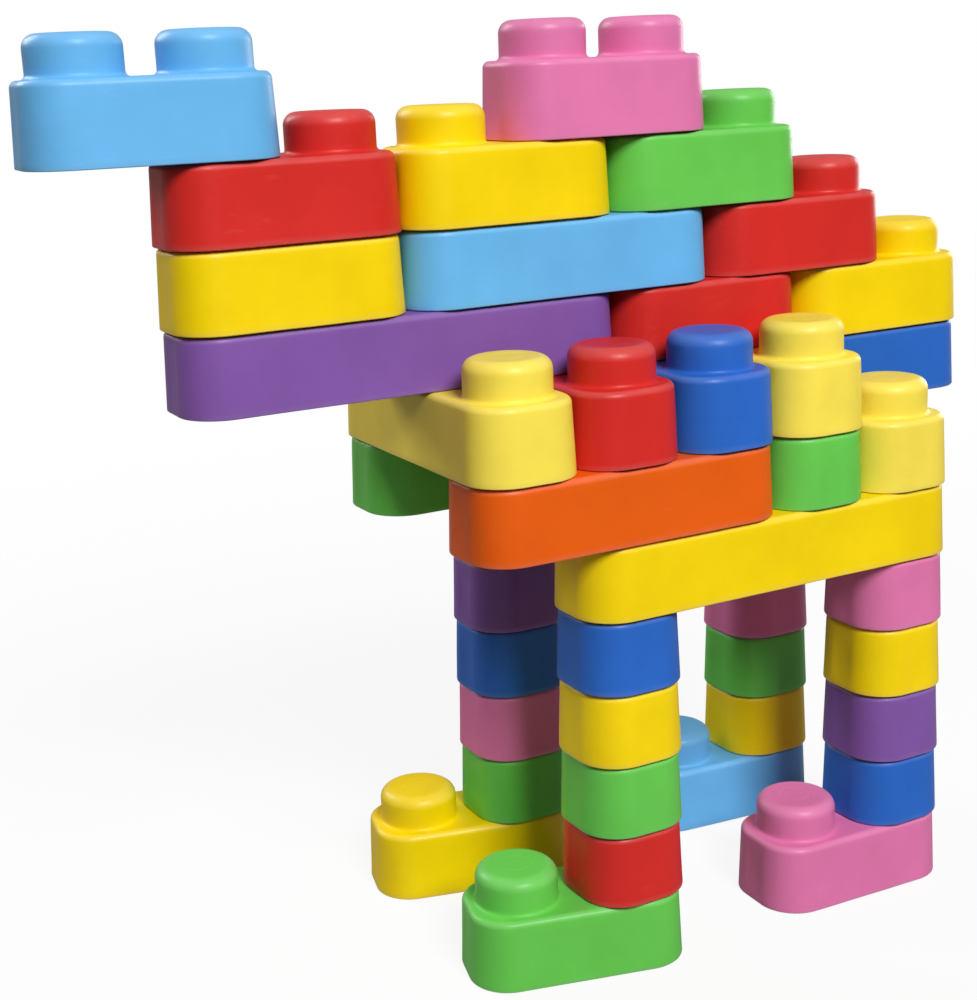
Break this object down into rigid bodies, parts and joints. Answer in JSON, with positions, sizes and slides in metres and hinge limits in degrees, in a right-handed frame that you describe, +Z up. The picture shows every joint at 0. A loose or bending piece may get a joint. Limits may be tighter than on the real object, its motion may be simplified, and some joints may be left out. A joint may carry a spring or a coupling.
{
  "type": "giant building block animal",
  "caption": "Camel with swivelling feet and a turning head, built from giant hollow stud-and-socket building blocks in bright satin plastic.",
  "frame": {"origin": "on the floor, below the middle of the camel's bounding box", "axes": "+X from head to tail, +Y from the camel's left side to its right side, +Z up"},
  "size_m": [0.9, 0.329, 0.8249],
  "materials": {
    "red": "satin moulded polyethylene with faint mottling and scuffs",
    "orange": "satin moulded polyethylene with faint mottling and scuffs",
    "yellow": "satin moulded polyethylene with faint mottling and scuffs",
    "light_yellow": "satin moulded polyethylene with faint mottling and scuffs",
    "green": "satin moulded polyethylene with faint mottling and scuffs",
    "light_blue": "satin moulded polyethylene with faint mottling and scuffs",
    "blue": "satin moulded polyethylene with faint mottling and scuffs",
    "purple": "satin moulded polyethylene with faint mottling and scuffs",
    "pink": "satin moulded polyethylene with faint mottling and scuffs"
  },
  "bodies": {
    "trunk": {"left_belly_beam": "yellow", "right_belly_beam": "yellow", "left_shoulder_beam": "orange", "right_shoulder_beam": "green", "left_flank_block": "green", "right_flank_block": "green", "rump_crossbar": "light_yellow", "chest_crossbar": "light_yellow", "fore_crossbar": "red", "mid_crossbar": "blue", "loin_crossbar": "light_yellow", "tail_lower_block": "blue", "neck_beam": "purple", "back_block": "red", "tail_upper_block": "yellow", "hump_base_beam": "light_blue", "hump_rear_block": "red", "hump_front_block": "yellow", "hump_mid_block": "green"},
    "left_fore_foot": {"left_fore_foot": "green"},
    "left_fore_leg_1": {"left_fore_leg_1": "red"},
    "left_fore_leg_2": {"left_fore_leg_2": "green"},
    "left_fore_leg_3": {"left_fore_leg_3": "yellow"},
    "left_fore_leg_4": {"left_fore_leg_4": "blue"},
    "right_fore_foot": {"right_fore_foot": "yellow"},
    "right_fore_leg_1": {"right_fore_leg_1": "green"},
    "right_fore_leg_2": {"right_fore_leg_2": "pink"},
    "right_fore_leg_3": {"right_fore_leg_3": "blue"},
    "right_fore_leg_4": {"right_fore_leg_4": "purple"},
    "left_hind_foot": {"left_hind_foot": "pink"},
    "left_hind_leg_1": {"left_hind_leg_1": "blue"},
    "left_hind_leg_2": {"left_hind_leg_2": "purple"},
    "left_hind_leg_3": {"left_hind_leg_3": "yellow"},
    "left_hind_leg_4": {"left_hind_leg_4": "pink"},
    "right_hind_foot": {"right_hind_foot": "light_blue"},
    "right_hind_leg_1": {"right_hind_leg_1": "yellow"},
    "right_hind_leg_2": {"right_hind_leg_2": "green"},
    "right_hind_leg_3": {"right_hind_leg_3": "pink"},
    "right_hind_leg_4": {"right_hind_leg_4": "blue"},
    "neck_lower_block": {"neck_lower_block": "yellow"},
    "neck_upper_block": {"neck_upper_block": "red"},
    "head_block": {"head_block": "light_blue"},
    "hump_cap": {"hump_cap": "pink"}
  },
  "joints": [
    {"name": "left_fore_foot_swivel", "type": "hinge", "parent": "trunk", "child": "left_fore_foot", "pos_m": [0.00031, -0.1121, 0.066], "axis": [0, 0, 1], "range_deg": [-12, 104]},
    {"name": "left_fore_leg_1_swivel", "type": "hinge", "parent": "trunk", "child": "left_fore_leg_1", "pos_m": [0.00031, -0.1121, 0.066], "axis": [0, 0, 1], "continuous": true},
    {"name": "left_fore_leg_2_swivel", "type": "hinge", "parent": "trunk", "child": "left_fore_leg_2", "pos_m": [0.00031, -0.1121, 0.132], "axis": [0, 0, 1], "continuous": true},
    {"name": "left_fore_leg_3_swivel", "type": "hinge", "parent": "trunk", "child": "left_fore_leg_3", "pos_m": [0.00031, -0.1121, 0.198], "axis": [0, 0, 1], "continuous": true},
    {"name": "left_fore_leg_4_swivel", "type": "hinge", "parent": "trunk", "child": "left_fore_leg_4", "pos_m": [0.00031, -0.1121, 0.264], "axis": [0, 0, 1], "continuous": true},
    {"name": "right_fore_foot_swivel", "type": "hinge", "parent": "trunk", "child": "right_fore_foot", "pos_m": [0.00031, 0.0879, 0.066], "axis": [0, 0, 1], "range_deg": [-76, 40]},
    {"name": "right_fore_leg_1_swivel", "type": "hinge", "parent": "trunk", "child": "right_fore_leg_1", "pos_m": [0.00031, 0.0879, 0.066], "axis": [0, 0, 1], "continuous": true},
    {"name": "right_fore_leg_2_swivel", "type": "hinge", "parent": "trunk", "child": "right_fore_leg_2", "pos_m": [0.00031, 0.0879, 0.132], "axis": [0, 0, 1], "continuous": true},
    {"name": "right_fore_leg_3_swivel", "type": "hinge", "parent": "trunk", "child": "right_fore_leg_3", "pos_m": [0.00031, 0.0879, 0.198], "axis": [0, 0, 1], "continuous": true},
    {"name": "right_fore_leg_4_swivel", "type": "hinge", "parent": "trunk", "child": "right_fore_leg_4", "pos_m": [0.00031, 0.0879, 0.264], "axis": [0, 0, 1], "continuous": true},
    {"name": "left_hind_foot_swivel", "type": "hinge", "parent": "trunk", "child": "left_hind_foot", "pos_m": [0.30031, -0.1121, 0.066], "axis": [0, 0, 1], "range_deg": [-24, 92]},
    {"name": "left_hind_leg_1_swivel", "type": "hinge", "parent": "trunk", "child": "left_hind_leg_1", "pos_m": [0.30031, -0.1121, 0.066], "axis": [0, 0, 1], "continuous": true},
    {"name": "left_hind_leg_2_swivel", "type": "hinge", "parent": "trunk", "child": "left_hind_leg_2", "pos_m": [0.30031, -0.1121, 0.132], "axis": [0, 0, 1], "continuous": true},
    {"name": "left_hind_leg_3_swivel", "type": "hinge", "parent": "trunk", "child": "left_hind_leg_3", "pos_m": [0.30031, -0.1121, 0.198], "axis": [0, 0, 1], "continuous": true},
    {"name": "left_hind_leg_4_swivel", "type": "hinge", "parent": "trunk", "child": "left_hind_leg_4", "pos_m": [0.30031, -0.1121, 0.264], "axis": [0, 0, 1], "continuous": true},
    {"name": "right_hind_foot_swivel", "type": "hinge", "parent": "trunk", "child": "right_hind_foot", "pos_m": [0.30031, 0.0879, 0.066], "axis": [0, 0, 1], "range_deg": [-85, 31]},
    {"name": "right_hind_leg_1_swivel", "type": "hinge", "parent": "trunk", "child": "right_hind_leg_1", "pos_m": [0.30031, 0.0879, 0.066], "axis": [0, 0, 1], "continuous": true},
    {"name": "right_hind_leg_2_swivel", "type": "hinge", "parent": "trunk", "child": "right_hind_leg_2", "pos_m": [0.30031, 0.0879, 0.132], "axis": [0, 0, 1], "continuous": true},
    {"name": "right_hind_leg_3_swivel", "type": "hinge", "parent": "trunk", "child": "right_hind_leg_3", "pos_m": [0.30031, 0.0879, 0.198], "axis": [0, 0, 1], "continuous": true},
    {"name": "right_hind_leg_4_swivel", "type": "hinge", "parent": "trunk", "child": "right_hind_leg_4", "pos_m": [0.30031, 0.0879, 0.264], "axis": [0, 0, 1], "continuous": true},
    {"name": "neck_lower_lift", "type": "slide", "parent": "trunk", "child": "neck_lower_block", "axis": [0, 0, 1], "range_m": [0, 0.045]},
    {"name": "neck_upper_lift", "type": "slide", "parent": "neck_lower_block", "child": "neck_upper_block", "axis": [0, 0, 1], "range_m": [0, 0.045]},
    {"name": "hump_cap_lift", "type": "slide", "parent": "trunk", "child": "hump_cap", "axis": [0, 0, 1], "range_m": [0, 0.045]},
    {"name": "head_turn", "type": "hinge", "parent": "neck_upper_block", "child": "head_block", "pos_m": [-0.29969, -0.0121, 0.726], "axis": [0, 0, 1], "range_deg": [-111, 119]}
  ]
}
